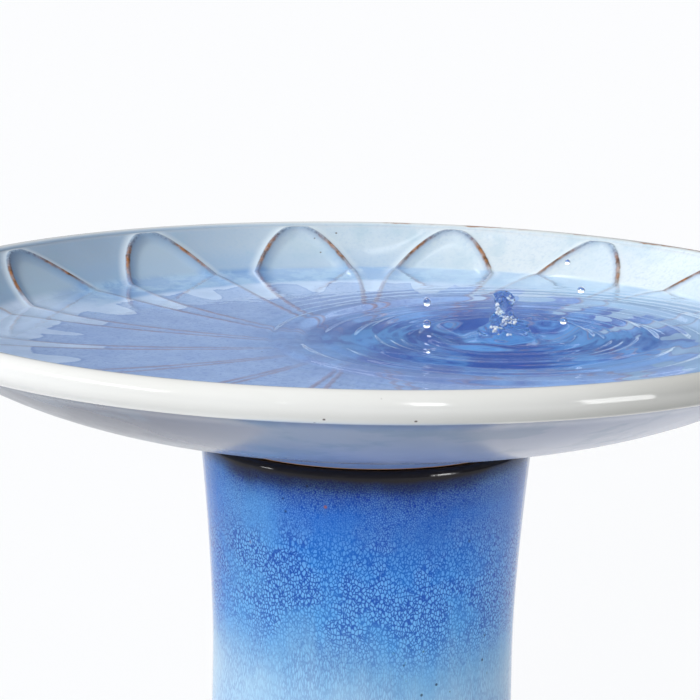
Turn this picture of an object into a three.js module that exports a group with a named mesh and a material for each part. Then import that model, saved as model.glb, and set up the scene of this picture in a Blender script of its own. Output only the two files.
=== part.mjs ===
// Two-piece glazed stoneware bird bath: a wide petalled basin that rests on a hollow pedestal,
// with a loose rubber ring between the two glazed rims. Millimetres, +Z up.
// The origin is the middle of the pedestal's resting face.
import * as THREE from "three";

// Driving dimensions
const TOTAL_HEIGHT = 610;
const BASIN_RADIUS = 260;
const LIP_ROUND = 7.5;
const LIP_DEPTH = 15;
const LIP_UNDERCUT = 11;
const LIP_CREASE = 0.5;
const LIP_ARC_START = -35;
const LIP_ARC_END = 115;
const LIP_STEPS = 6;

const FLOOR_DEPTH = 61;
const FLOOR_CURVE = 3.78;
const WALL_TOP_RADIUS = 248.3;
const WALL_TOP_DEPTH = 1.3;
const UNDERSIDE_DEPTH = 69;
const UNDERSIDE_CURVE = 3.35;
const UNDERSIDE_TOP_RADIUS = 249;
const UNDERSIDE_TOP_DEPTH = 14.8;
const WALL_END_GAP = 2;
const UNDERSIDE_END_GAP = 6;
const FLOOR_STEPS = 13;
const UNDERSIDE_STEPS = 6;

const PETALS = 15;
const FIRST_PETAL_DEGREES = 77.5;
const PETAL_DISH = 2.2;
const PETAL_TOP_RADIUS = 247;
const PETAL_FOOT_RADIUS = 213;
const PETAL_HALF_DEGREES = 8;

const SEAT_DEPTH = 78;
const FOOT_OUTER = 88;
const FOOT_FILLET = 5;
const EDGE_BREAK = 1;
const SPIGOT_OUTER = 69;
const SPIGOT_INNER = 57;
const SPIGOT_LENGTH = 14;
const RECESS_DEPTH = 74;

const FIT_GAP = 0.4;
const RING_THICKNESS = 2.2;
const RING_INNER = 75.5;
const RING_OUTER = 81.5;
const RING_CORNER = 0.4;
const RING_SLACK = 0.3;
const REBATE_CLEARANCE = 0.6;

const PEDESTAL_TOP_RADIUS = 90.5;
const PEDESTAL_SHOULDER = 4;
const PEDESTAL_WAIST_RADIUS = 83.3;
const WAIST_DEPTH = 195;
const PEDESTAL_BASE_RADIUS = 140;
const BASE_ROUND = 6;
const PEDESTAL_WALL = 11;
const MOUTH_RADIUS = 74;
const MOUTH_DEPTH = 12;
const FLARE_POWER = 2.1;
const TAPER_POWER = 1.6;
const FLARE_STEPS = 10;
const TAPER_STEPS = 4;
const SHOULDER_STEPS = 4;
const BASE_STEPS = 3;
const INSIDE_STEPS = 8;

const BASIN_SEGMENTS = 90;
const PEDESTAL_SEGMENTS = 48;
const SAME_HEIGHT = 0.01;

// Heights worked out from the driving dimensions
const SEAT_Z = TOTAL_HEIGHT - SEAT_DEPTH;
const PEDESTAL_TOP_Z = SEAT_Z - FIT_GAP;
const REBATE_Z = PEDESTAL_TOP_Z - RING_THICKNESS;
const WAIST_Z = TOTAL_HEIGHT - WAIST_DEPTH;

const glaze = (color) => new THREE.MeshStandardMaterial({ color, roughness: 0.12, metalness: 0 });
const basinGlaze = glaze(0xb9d0e4);
const pedestalGlaze = glaze(0x4b86cf);
const ringRubber = new THREE.MeshStandardMaterial({ color: 0x2a2a2c, roughness: 0.85, metalness: 0 });

const point = (radius, height) => new THREE.Vector2(radius, height);

// Points on a circular arc, both ends included; angles in degrees from the outward direction.
function arc(centreRadius, centreHeight, radius, fromDegrees, toDegrees, steps) {
  const points = [];
  for (let step = 0; step <= steps; step += 1) {
    const angle = THREE.MathUtils.degToRad(fromDegrees + (toDegrees - fromDegrees) * (step / steps));
    points.push(point(centreRadius + radius * Math.cos(angle), centreHeight + radius * Math.sin(angle)));
  }
  return points;
}

// Evenly spaced values from start to end, both included.
function spread(start, end, steps) {
  return Array.from({ length: steps + 1 }, (_, step) => start + (end - start) * (step / steps));
}

// The bowl's two faces are flat in the middle and steepen towards the lip.
function floorHeight(radius) {
  const rise = (FLOOR_DEPTH - WALL_TOP_DEPTH) * (radius / WALL_TOP_RADIUS) ** FLOOR_CURVE;
  return TOTAL_HEIGHT - FLOOR_DEPTH + rise;
}

function undersideHeight(radius) {
  const rise = (UNDERSIDE_DEPTH - UNDERSIDE_TOP_DEPTH) * (radius / UNDERSIDE_TOP_RADIUS) ** UNDERSIDE_CURVE;
  return TOTAL_HEIGHT - UNDERSIDE_DEPTH + rise;
}

// A closed ring-shaped solid from a profile that never touches the axis.
// The profile runs up the outside and down the inside, so the faces point out.
function turned(profile, segments) {
  const closed = [...profile, profile[0].clone()];
  const geometry = new THREE.LatheGeometry(closed, segments);
  geometry.rotateX(Math.PI / 2);
  return geometry;
}

function named(name, geometry, material) {
  const mesh = new THREE.Mesh(geometry, material);
  mesh.name = name;
  return mesh;
}

// How deep the petals press into the bowl at one place: a row of arches round the wall.
function petalDish(x, y) {
  const radius = Math.hypot(x, y);
  const across = PETAL_TOP_RADIUS - PETAL_FOOT_RADIUS;
  const up = (radius - PETAL_FOOT_RADIUS) / across;
  if (up <= -1 || up >= 1) {
    return 0;
  }
  const pitch = 360 / PETALS;
  const turn = (THREE.MathUtils.radToDeg(Math.atan2(y, x)) - FIRST_PETAL_DEGREES) / pitch;
  const side = ((turn - Math.round(turn)) * pitch) / PETAL_HALF_DEGREES;
  const inside = 1 - side ** 2 - up ** 2;
  return inside > 0 ? PETAL_DISH * Math.sqrt(inside) : 0;
}

// The basin: floor, wall, rolled lip, underside, foot ring and the spigot that centres it.
function makeBasin() {
  const lipCentreRadius = BASIN_RADIUS - LIP_ROUND;
  const lipCentreHeight = TOTAL_HEIGHT - LIP_ROUND;
  const wallEnd = WALL_TOP_RADIUS - WALL_END_GAP;
  const floor = spread(0, wallEnd, FLOOR_STEPS).map((radius) => point(radius, floorHeight(radius)));
  const lip = arc(lipCentreRadius, lipCentreHeight, LIP_ROUND, LIP_ARC_END, LIP_ARC_START, LIP_STEPS);
  const lipEdge = point(BASIN_RADIUS - LIP_UNDERCUT, TOTAL_HEIGHT - LIP_DEPTH - LIP_CREASE);
  const undersideEnd = BASIN_RADIUS - LIP_UNDERCUT - UNDERSIDE_END_GAP;
  const underside = spread(undersideEnd, FOOT_OUTER + FOOT_FILLET, UNDERSIDE_STEPS).map((radius) =>
    point(radius, undersideHeight(radius)));
  const foot = [
    point(FOOT_OUTER + EDGE_BREAK, undersideHeight(FOOT_OUTER) - 2 * EDGE_BREAK),
    point(FOOT_OUTER, SEAT_Z + EDGE_BREAK),
    point(FOOT_OUTER - EDGE_BREAK, SEAT_Z),
    point(SPIGOT_OUTER, SEAT_Z),
    point(SPIGOT_OUTER - EDGE_BREAK, SEAT_Z - SPIGOT_LENGTH),
    point(SPIGOT_INNER + EDGE_BREAK, SEAT_Z - SPIGOT_LENGTH),
    point(SPIGOT_INNER, TOTAL_HEIGHT - RECESS_DEPTH),
    point(0, TOTAL_HEIGHT - RECESS_DEPTH),
  ];
  const profile = [...foot.reverse(), ...underside.reverse(), lipEdge, ...lip.reverse(), ...floor.reverse()];
  const geometry = new THREE.LatheGeometry(profile, BASIN_SEGMENTS);
  geometry.rotateX(Math.PI / 2);
  const position = geometry.attributes.position;
  for (let index = 0; index < position.count; index += 1) {
    const x = position.getX(index);
    const y = position.getY(index);
    const z = position.getZ(index);
    const onTheInside = Math.abs(z - floorHeight(Math.hypot(x, y))) < SAME_HEIGHT;
    if (onTheInside) {
      position.setZ(index, z - petalDish(x, y));
    }
  }
  return named("basin", geometry, basinGlaze);
}

// The rubber ring lies in a rebate round the pedestal's mouth and carries the basin's foot.
function makeSeatRing() {
  const low = REBATE_Z + RING_SLACK;
  const high = SEAT_Z - RING_SLACK;
  const profile = [
    point(RING_INNER + RING_CORNER, low),
    point(RING_OUTER - RING_CORNER, low),
    point(RING_OUTER, low + RING_CORNER),
    point(RING_OUTER, high - RING_CORNER),
    point(RING_OUTER - RING_CORNER, high),
    point(RING_INNER + RING_CORNER, high),
    point(RING_INNER, high - RING_CORNER),
    point(RING_INNER, low + RING_CORNER),
  ];
  return named("seat_ring", turned(profile, PEDESTAL_SEGMENTS), ringRubber);
}

// Outer radius of the pedestal: a slow taper from the shoulder to the waist, then a flare.
function pedestalRadius(height) {
  if (height >= WAIST_Z) {
    const up = (height - WAIST_Z) / (PEDESTAL_TOP_Z - PEDESTAL_SHOULDER - WAIST_Z);
    return PEDESTAL_WAIST_RADIUS + (PEDESTAL_TOP_RADIUS - PEDESTAL_WAIST_RADIUS) * up ** TAPER_POWER;
  }
  const down = (WAIST_Z - height) / WAIST_Z;
  return PEDESTAL_WAIST_RADIUS + (PEDESTAL_BASE_RADIUS - PEDESTAL_WAIST_RADIUS) * down ** FLARE_POWER;
}

// The pedestal: a hollow shell, open below, with a rounded shoulder and a turned-in mouth.
function makePedestal() {
  const shoulderZ = PEDESTAL_TOP_Z - PEDESTAL_SHOULDER;
  const outside = [
    ...spread(0, WAIST_Z, FLARE_STEPS).slice(1),
    ...spread(WAIST_Z, shoulderZ, TAPER_STEPS).slice(1, -1),
  ].map((height) => point(pedestalRadius(height), height));
  const base = arc(PEDESTAL_BASE_RADIUS - BASE_ROUND, BASE_ROUND, BASE_ROUND, -90, 0, BASE_STEPS);
  const shoulderCentre = PEDESTAL_TOP_RADIUS - PEDESTAL_SHOULDER;
  const shoulder = arc(shoulderCentre, shoulderZ, PEDESTAL_SHOULDER, 0, 90, SHOULDER_STEPS);
  const rebateOuter = RING_OUTER + REBATE_CLEARANCE;
  const mouth = [
    point(rebateOuter, PEDESTAL_TOP_Z),
    point(rebateOuter, REBATE_Z),
    point(MOUTH_RADIUS, REBATE_Z),
    point(MOUTH_RADIUS, PEDESTAL_TOP_Z - MOUTH_DEPTH),
  ];
  const inside = spread(shoulderZ - 2 * MOUTH_DEPTH, 2 * BASE_ROUND, INSIDE_STEPS).map((height) =>
    point(pedestalRadius(height) - PEDESTAL_WALL, height));
  const baseInner = point(PEDESTAL_BASE_RADIUS - PEDESTAL_WALL - BASE_ROUND, 0);
  const profile = [...base, ...outside, ...shoulder, ...mouth, ...inside, baseInner];
  return named("pedestal", turned(profile, PEDESTAL_SEGMENTS), pedestalGlaze);
}

const birdBath = new THREE.Group();
birdBath.add(makeBasin(), makeSeatRing(), makePedestal());

export default birdBath;
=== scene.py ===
"""Glazed two-piece bird bath with water in its basin, in metres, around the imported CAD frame."""
import math
import random

import bpy
import numpy as np
from mathutils import Matrix, Vector


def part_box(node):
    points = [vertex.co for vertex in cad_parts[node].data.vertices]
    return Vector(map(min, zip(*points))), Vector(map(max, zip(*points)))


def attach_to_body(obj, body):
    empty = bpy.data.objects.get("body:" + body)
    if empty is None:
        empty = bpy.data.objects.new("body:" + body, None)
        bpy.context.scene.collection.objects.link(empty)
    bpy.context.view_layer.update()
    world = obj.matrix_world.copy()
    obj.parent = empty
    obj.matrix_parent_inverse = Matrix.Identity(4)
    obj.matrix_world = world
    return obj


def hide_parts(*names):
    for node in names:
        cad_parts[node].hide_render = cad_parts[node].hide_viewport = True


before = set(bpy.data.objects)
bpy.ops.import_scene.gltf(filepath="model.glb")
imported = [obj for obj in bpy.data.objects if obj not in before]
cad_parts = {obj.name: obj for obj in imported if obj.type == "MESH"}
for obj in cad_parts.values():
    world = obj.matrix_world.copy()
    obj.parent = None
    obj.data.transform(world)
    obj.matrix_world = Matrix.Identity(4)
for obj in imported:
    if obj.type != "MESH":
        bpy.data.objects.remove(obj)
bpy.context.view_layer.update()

MM = 0.001
CREST_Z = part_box("basin")[1].z / MM
PEDESTAL_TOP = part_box("pedestal")[1].z / MM
RING_LOW, RING_HIGH = (corner.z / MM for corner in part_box("seat_ring"))
BASIN_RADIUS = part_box("basin")[1].x / MM
BASE_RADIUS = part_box("pedestal")[1].x / MM

# Basin profile, in millimetres; depths are below the lip's crest
LIP_ROUND = 7.5
LIP_START, LIP_END = 128, -38
ROLL_WIDTH = 13
FLOOR_DEPTH = 61
FLOOR_CURVE = 3.78
WALL_TOP_RADIUS = 248.3
WALL_TOP_DEPTH = 1.3
WALL_END = 247.4
UNDERSIDE_DEPTH = 69
UNDERSIDE_CURVE = 3.35
UNDERSIDE_TOP_RADIUS = 249
UNDERSIDE_TOP_DEPTH = 14.8
SEAT_DEPTH = 78
FOOT_OUTER = 88
SPIGOT_OUTER = 69
SPIGOT_INNER = 57
SPIGOT_LENGTH = 14
RECESS_DEPTH = 74

# Petals pressed into the bowl: angles in degrees, the rest in millimetres
PETALS = 15
PITCH = 360 / PETALS
FIRST_PETAL = 77.5
ARCH_TOP = 246.6
ARCH_FOOT = 213
ARCH_HALF = 8.4
ARCH_POWER = 0.56
EDGE_HALF_INNER = 10.4
EDGE_SPREAD = 38
DISH_DEPTH = 2.4
DISH_REACH = 8
RIDGE_HEIGHT = 0.8
RIDGE_WIDTH = 1.3
SHOULDER_HEIGHT = 1.8
SHOULDER_REACH = 4

# Water, in millimetres; the splash rises from SPLASH_X, SPLASH_Y
WATER_DEPTH = 24
WATER_TILT = math.tan(math.radians(1.03))
SPLASH_X, SPLASH_Y = 74, -9
SPLASH_HEIGHT = 24
SPLASH_LEAN = -2.0
SPLASH_FOOT = 17

random.seed(7)


def scalar(obj, name, values):
    """Stores one number per vertex for the materials to read."""
    layer = obj.data.attributes.new(name, "FLOAT", "POINT")
    layer.data.foreach_set("value", np.asarray(values, np.float32).ravel())


def add_object(name, data):
    """A new object in the scene."""
    obj = bpy.data.objects.new(name, data)
    bpy.context.scene.collection.objects.link(obj)
    return obj


def turned_mesh(name, rows, materials, first_pole=None, last_pole=None, ring=False):
    """A mesh from rows of points, each row one turn round the piece.

    rows is an array (rows, columns, 3) in millimetres. Poles close the two ends;
    a ring closes the last row onto the first.
    """
    count, columns = rows.shape[:2]
    points = [rows.reshape(-1, 3)]
    here = np.arange(columns)
    beside = (here + 1) % columns
    quads = []
    for row in range(count if ring else count - 1):
        a, b = row * columns, ((row + 1) % count) * columns
        quads.append(np.stack([a + here, a + beside, b + beside, b + here], 1))
    faces = np.concatenate(quads).tolist()
    total = count * columns
    if first_pole is not None:
        points.append(np.array([first_pole]))
        faces += [[total, int(j), int(i)] for i, j in zip(here, beside)]
        total += 1
    if last_pole is not None:
        points.append(np.array([last_pole]))
        base = (count - 1) * columns
        faces += [[total, int(base + i), int(base + j)] for i, j in zip(here, beside)]
    mesh = bpy.data.meshes.new(name)
    mesh.from_pydata((np.concatenate(points) * MM).tolist(), [], faces)
    mesh.validate()
    mesh.update()
    mesh.shade_smooth()
    for material in materials:
        mesh.materials.append(material)
    return add_object(name, mesh)


def profile_rows(profile, angles):
    """Turns (radius, height) points round the axis; angles is one array, or one for each point."""
    profile = np.asarray(profile, float)
    angles = np.broadcast_to(angles, (len(profile), np.shape(angles)[-1]))
    radius, height = profile[:, :1], profile[:, 1:]
    height = np.broadcast_to(height, angles.shape)
    return np.stack([radius * np.cos(angles), radius * np.sin(angles), height], 2)


def arc(centre, radius, start, end, steps):
    """Points along an arc; start and end are in degrees."""
    angles = np.radians(np.linspace(start, end, steps))
    return [(centre[0] + radius * math.cos(a), centre[1] + radius * math.sin(a)) for a in angles]


def bezier(p0, p1, p2, p3, steps):
    """Points along a cubic curve."""
    t = np.linspace(0, 1, steps)[:, None]
    p0, p1, p2, p3 = (np.array(p, float) for p in (p0, p1, p2, p3))
    curve = (1 - t) ** 3 * p0 + 3 * (1 - t) ** 2 * t * p1 + 3 * (1 - t) * t**2 * p2 + t**3 * p3
    return [tuple(point) for point in curve]


def full_turn(columns):
    """Angles of evenly spaced mesh columns, in radians."""
    return np.linspace(0, 2 * math.pi, columns, endpoint=False)


def smoothstep(low, high, value):
    """Goes smoothly from 0 at low to 1 at high."""
    t = np.clip((value - low) / (high - low), 0, 1)
    return t * t * (3 - 2 * t)


# -------- materials

def new_material(name):
    """A material, the calls that add nodes to it, and its shader."""
    material = bpy.data.materials.new(name)
    material.use_nodes = True
    tree = material.node_tree
    return material, Nodes(tree), tree.nodes["Principled BSDF"]


class Nodes:
    """Short calls for the few node kinds that the materials use."""

    def __init__(self, tree):
        self.tree = tree

    def put(self, socket, value):
        if isinstance(value, bpy.types.NodeSocket):
            self.tree.links.new(value, socket)
        else:
            socket.default_value = value

    def attribute(self, name):
        node = self.tree.nodes.new("ShaderNodeAttribute")
        node.attribute_name = name
        return node.outputs["Fac"]

    def position(self):
        return self.tree.nodes.new("ShaderNodeTexCoord").outputs["Object"]

    def stretch(self, vector, scale):
        node = self.tree.nodes.new("ShaderNodeMapping")
        self.put(node.inputs["Vector"], vector)
        node.inputs["Scale"].default_value = scale
        return node.outputs["Vector"]

    def split(self, vector):
        node = self.tree.nodes.new("ShaderNodeSeparateXYZ")
        self.put(node.inputs[0], vector)
        return node.outputs

    def noise(self, vector, scale, detail=3.0, roughness=0.5):
        node = self.tree.nodes.new("ShaderNodeTexNoise")
        self.put(node.inputs["Vector"], vector)
        for name, number in (("Scale", scale), ("Detail", detail), ("Roughness", roughness)):
            node.inputs[name].default_value = number
        return node.outputs["Fac"]

    def cells(self, vector, scale, feature="F1"):
        """Distance to the nearest of many scattered points, or to the border between two."""
        node = self.tree.nodes.new("ShaderNodeTexVoronoi")
        node.feature = feature
        self.put(node.inputs["Vector"], vector)
        node.inputs["Scale"].default_value = scale
        return node.outputs["Distance"]

    def warp(self, vector, scale, amount):
        """Moves the place looked up by a little noise, so that patterns are less regular."""
        node = self.tree.nodes.new("ShaderNodeTexNoise")
        self.put(node.inputs["Vector"], vector)
        node.inputs["Scale"].default_value = scale
        offset = self.tree.nodes.new("ShaderNodeVectorMath")
        offset.operation = "MULTIPLY_ADD"
        self.put(offset.inputs[0], node.outputs["Color"])
        offset.inputs[1].default_value = (amount,) * 3
        self.put(offset.inputs[2], vector)
        return offset.outputs[0]

    def maths(self, operation, a, b=0.0):
        node = self.tree.nodes.new("ShaderNodeMath")
        node.operation = operation
        self.put(node.inputs[0], a)
        self.put(node.inputs[1], b)
        return node.outputs[0]

    def plus(self, a, b):
        return self.maths("ADD", a, b)

    def times(self, a, b):
        return self.maths("MULTIPLY", a, b)

    def ramp(self, value, low, high, start=0.0, end=1.0, smooth=True):
        """Goes from start to end while value goes from low to high, and stays there."""
        node = self.tree.nodes.new("ShaderNodeMapRange")
        node.interpolation_type = "SMOOTHSTEP" if smooth else "LINEAR"
        self.put(node.inputs["Value"], value)
        for name, number in (("From Min", low), ("From Max", high), ("To Min", start), ("To Max", end)):
            node.inputs[name].default_value = number
        return node.outputs["Result"]

    def mix(self, factor, a, b, kind="RGBA"):
        """Colour (or number) a where the factor is 0 and b where it is 1."""
        node = self.tree.nodes.new("ShaderNodeMix")
        node.data_type = kind
        for name, value in (("Factor", factor), ("A", a), ("B", b)):
            self.put(node.inputs[name], value)
        return node.outputs["Result"]

    def colours(self, value, stops):
        """A colour ramp; stops are (place, colour)."""
        node = self.tree.nodes.new("ShaderNodeValToRGB")
        self.put(node.inputs["Fac"], value)
        elements = node.color_ramp.elements
        while len(elements) < len(stops):
            elements.new(0.5)
        for element, (place, colour) in zip(elements, stops):
            element.position = place
            element.color = colour
        return node.outputs["Color"]

    def bump(self, height, strength, distance):
        node = self.tree.nodes.new("ShaderNodeBump")
        self.put(node.inputs["Height"], height)
        node.inputs["Strength"].default_value = strength
        node.inputs["Distance"].default_value = distance
        return node.outputs["Normal"]


def srgb(red, green, blue):
    """A colour given in screen values from 0 to 255."""
    def linear(value):
        value /= 255
        return value / 12.92 if value <= 0.04045 else ((value + 0.055) / 1.055) ** 2.4
    return (linear(red), linear(green), linear(blue), 1.0)


def outside_colours(n, place):
    """The white lip and the greyer underside, with painted shade: both a little darker away from the key
    light, the lip under its turn on the right, and the underside on its left middle; the underside's grey
    is partly painted shade, its right painted light and its blue near the foot a painted reflection of the
    pedestal.
    """
    side, _, height = n.split(place)
    radius = n.attribute("radius_mm")
    broad = n.noise(place, 9, 3, 0.5)
    lip = n.mix(n.ramp(broad, 0.3, 0.7), srgb(221, 221, 216), srgb(228, 228, 225))
    # Painted shade: the lip darker towards the right, away from the key light
    lip = n.mix(n.ramp(side, 0.06, 0.18, 0.0, 0.75), lip, srgb(178, 177, 169))
    # Painted shade under the lip's turn, on the right
    turned_under = n.ramp(height, (CREST_Z - 7) * MM, (CREST_Z - 13) * MM)
    painted_shade_under_right = n.times(turned_under, n.ramp(side, -0.08, 0.16, 0.0, 0.8))
    lip = n.mix(painted_shade_under_right, lip, srgb(158, 158, 153))

    # The underside's grey, partly painted shade on a surface facing down
    under = n.mix(n.ramp(broad, 0.35, 0.65), srgb(134, 141, 160), srgb(148, 154, 172))
    # Painted shade on the underside's left middle
    painted_shade_left_middle = n.times(n.ramp(side, -0.02, -0.13), n.ramp(radius, 266, 230, 0.1, 0.88))
    under = n.mix(painted_shade_left_middle, under, srgb(66, 72, 92))
    # Painted light on the underside's right
    under = n.mix(n.ramp(side, 0.05, 0.14, 0.0, 0.6), under, srgb(172, 178, 194))
    stain = n.noise(n.stretch(place, (0.6, 1, 1)), 30, 4, 0.6)
    under = n.mix(n.ramp(stain, 0.5, 0.62, 0.0, 0.45), under, srgb(112, 130, 150))
    # Painted reflection of the blue pedestal and painted shade near the foot
    under = n.mix(n.ramp(radius, 112, 95, 0.0, 0.8), under, srgb(94, 126, 182))
    return n.mix(n.attribute("under"), lip, under)


def wall_colours(n, place, drift, fine, broad):
    """The bowl's wall: bluer and darker on the left in painted shade, whiter on the right in painted light,
    and streaked under the water.
    """
    side, back, _ = n.split(place)
    radius = n.attribute("radius_mm")
    # Painted shade on the left of the wall and painted light towards its right
    wall = n.mix(n.ramp(side, -0.16, 0.0), srgb(148, 171, 195), srgb(198, 214, 224))
    wall = n.mix(n.ramp(side, 0.0, 0.1), wall, srgb(211, 222, 228))
    wall = n.mix(n.ramp(side, 0.12, 0.22), wall, srgb(226, 238, 244))
    wall = n.mix(n.ramp(broad, 0.35, 0.65, 0.0, 0.3), wall, srgb(180, 202, 222))
    wall = n.mix(n.ramp(fine, 0.45, 0.75, 0.0, 0.3), wall, srgb(150, 182, 210))
    mottle = n.noise(place, 26, 4, 0.65)
    wall = n.mix(n.ramp(mottle, 0.5, 0.68, 0.0, 0.3), wall, srgb(146, 186, 204))
    specks = n.noise(place, 130, 4, 0.7)
    wall = n.mix(n.ramp(specks, 0.54, 0.70, 0.0, 0.07), wall, srgb(122, 152, 180))
    left_low = n.times(n.ramp(radius, 238, 222), n.ramp(side, 0.1, -0.05, 0.0, 0.4))
    wall = n.mix(left_low, wall, srgb(132, 172, 214))

    streaks = n.ramp(n.noise(n.stretch(place, (1, 1, 0.3)), 55, 4, 0.7), 0.42, 0.62)
    wet_wall = n.mix(streaks, srgb(118, 158, 206), srgb(152, 188, 220))
    # Painted light on the right of the wall under the water
    wet_wall = n.mix(n.ramp(side, -0.05, 0.12, 0.0, 0.6), wet_wall, srgb(164, 196, 218))
    wet_pale = n.mix(n.ramp(drift, 0.35, 0.65), srgb(184, 206, 234), srgb(198, 218, 243))
    wet_pale = n.mix(n.ramp(side, 0.0, 0.12), wet_pale, srgb(140, 170, 202))
    near_side = n.maths("MAXIMUM", n.ramp(back, 0.13, 0.08), n.ramp(radius, 190, 181))
    return n.mix(n.ramp(radius, 221, 215), wall, n.mix(near_side, wet_wall, wet_pale))


def floor_colours(n, place, drift, fine):
    """The blue that pooled on the floor, with painted shade making it deepest round the splash."""
    floor = n.mix(n.ramp(drift, 0.35, 0.7), srgb(152, 178, 220), srgb(163, 188, 226))
    floor = n.mix(n.ramp(fine, 0.46, 0.7, 0.0, 0.5), floor, srgb(112, 138, 196))
    clouds = n.noise(n.warp(place, 30, 0.03), 24, 4, 0.6)
    # Painted shade round the splash, in clouds of darker blue
    splash_shade_blue = n.mix(n.ramp(clouds, 0.4, 0.62), srgb(0, 64, 150), srgb(76, 138, 202))
    return n.mix(n.attribute("splash_shade"), floor, splash_shade_blue)


def petal_edges(n, place, inside, fine):
    """Adds the petals' edges: a painted highlight outside, painted shade inside, and brown where the glaze
    broke.
    """
    edge = n.attribute("edge_mm")
    beside = n.attribute("halo")
    # Painted highlight outside each edge and painted shade just inside it, standing in for light on the
    # relief
    painted_highlight = n.times(n.ramp(edge, -8.0, -2.4), n.ramp(edge, -1.0, -2.4, 0.0, 0.5))
    inside = n.mix(n.times(painted_highlight, beside), inside, srgb(222, 233, 240))
    shade = n.times(n.ramp(edge, 4.5, 1.0), n.ramp(edge, 0.0, 1.0, 0.0, 0.42))
    inside = n.mix(n.times(shade, beside), inside, srgb(100, 132, 170))
    dish = n.ramp(edge, 3.0, 8.0, 0.0, 0.3)
    inside = n.mix(n.times(dish, beside), inside, srgb(198, 218, 230))

    wobble = n.ramp(n.noise(place, 240, 3, 0.6), 0.2, 0.8, -0.5, 0.5, False)
    distance = n.maths("ABSOLUTE", n.plus(edge, wobble))
    broken = n.ramp(n.noise(place, 110, 3, 0.6), 0.36, 0.56, 0.65, 1.0)
    line = n.times(n.ramp(distance, 2.1, 0.7), n.times(n.attribute("line_strength"), broken))
    rust = n.ramp(n.noise(place, 150, 4, 0.7), 0.35, 0.65)
    brown = n.mix(rust, srgb(92, 60, 34), srgb(166, 108, 58))
    speckle = n.mix(n.ramp(fine, 0.4, 0.6), srgb(84, 100, 130), srgb(150, 170, 190))
    line_colour = n.mix(n.attribute("brown"), speckle, brown)
    deep_in_water = n.ramp(n.attribute("radius_mm"), 212, 200)
    line_colour = n.mix(deep_in_water, line_colour, srgb(150, 112, 100))
    return n.mix(line, inside, line_colour)


def make_basin_glaze():
    """Pale blue glaze over white, pooling blue on the floor and breaking brown on raised edges, with
    painted light and shade on the wall, round the splash and beside the petal edges.
    """
    material, n, shader = new_material("basin_glaze")
    place = n.position()
    drift = n.noise(place, 60, 4, 0.6)
    fine = n.noise(place, 420, 4, 0.65)
    broad = n.noise(place, 9, 3, 0.5)

    wall = wall_colours(n, place, drift, fine, broad)
    floor = floor_colours(n, place, drift, fine)
    pale_edge = n.plus(n.attribute("pale_mm"), n.ramp(drift, 0.2, 0.8, -2.5, 2.5, False))
    inside = n.mix(n.ramp(pale_edge, -1.0, 1.2), floor, wall)
    rim_of_blue = n.times(n.ramp(pale_edge, -4.0, -0.4), n.ramp(pale_edge, 0.4, -0.4))
    inside = n.mix(n.times(rim_of_blue, 0.4), inside, srgb(104, 134, 196))
    inside = petal_edges(n, place, inside, fine)

    body = n.mix(n.attribute("inner"), outside_colours(n, place), inside)
    rim_wobble = n.ramp(n.noise(place, 35, 4, 0.7), 0.35, 0.7, -2.2, 1.6, False)
    rim_place = n.maths("ABSOLUTE", n.plus(n.attribute("rim_mm"), rim_wobble))
    rim_broken = n.ramp(n.noise(place, 22, 3, 0.6), 0.5, 0.6)
    rim_line = n.times(n.ramp(rim_place, 1.5, 0.7), rim_broken)
    body = n.mix(n.times(rim_line, 0.85), body, srgb(150, 100, 58))
    pits = n.times(n.ramp(n.cells(place, 95), 0.09, 0.04), n.ramp(n.noise(place, 14, 2), 0.56, 0.66))
    body = n.mix(pits, body, srgb(96, 88, 84))
    n.put(shader.inputs["Base Color"], body)

    n.put(shader.inputs["Roughness"], n.ramp(drift, 0.3, 0.8, 0.05, 0.13))
    surface = n.plus(broad, n.times(fine, 0.02))
    n.put(shader.inputs["Normal"], n.bump(surface, 0.25, 0.004))
    shader.inputs["IOR"].default_value = 1.45
    return material


def make_underside_glaze():
    """Thinner glaze under the bowl, less glossy than the inside."""
    material, n, shader = new_material("underside_glaze")
    place = n.position()
    drift = n.noise(place, 60, 4, 0.6)
    n.put(shader.inputs["Base Color"], outside_colours(n, place))
    n.put(shader.inputs["Roughness"], n.ramp(drift, 0.3, 0.8, 0.17, 0.25))
    n.put(shader.inputs["Normal"], n.bump(n.noise(place, 9, 3, 0.5), 0.25, 0.004))
    shader.inputs["IOR"].default_value = 1.45
    shader.inputs["Specular IOR Level"].default_value = 0.26
    return material


# How far down the pedestal its glaze reaches, in millimetres
GLAZED_DEPTH = 530


def glaze_run(n, place, depth):
    """How far the glaze ran down at each place, and the fine and broad noise of its surface."""
    runs = n.noise(n.stretch(place, (1, 1, 0.16)), 70, 4, 0.6)
    broad = n.noise(n.stretch(place, (1, 1, 0.3)), 14, 3, 0.55)
    shift = n.plus(n.ramp(runs, 0.3, 0.7, -7, 7, False), n.ramp(broad, 0.3, 0.7, -9, 9, False))
    shift = n.times(shift, n.ramp(depth, 4, 60, 0.2, 1.0))
    return n.plus(depth, shift), runs, broad


def crystals(n, place, sunk):
    """Crystals in the glaze, from 0 at their borders: fine, then coarse, then drawn out in streaks."""
    warp = n.warp(n.warp(place, 260, 0.0011), 700, 0.0007)
    sizes = [(0.8, 1050, 0.02, 0.22), (0.62, 640, 0.03, 0.22), (0.2, 900, 0.02, 0.25)]
    fine, coarse, streak = (
        n.ramp(n.cells(n.stretch(warp, (1, 1, drawn)), scale, feature="DISTANCE_TO_EDGE"), low, high)
        for drawn, scale, low, high in sizes)
    flecks = n.mix(n.ramp(sunk, 22, 55), fine, coarse, "FLOAT")
    return n.mix(n.ramp(sunk, 85, 130), flecks, streak, "FLOAT")


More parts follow.
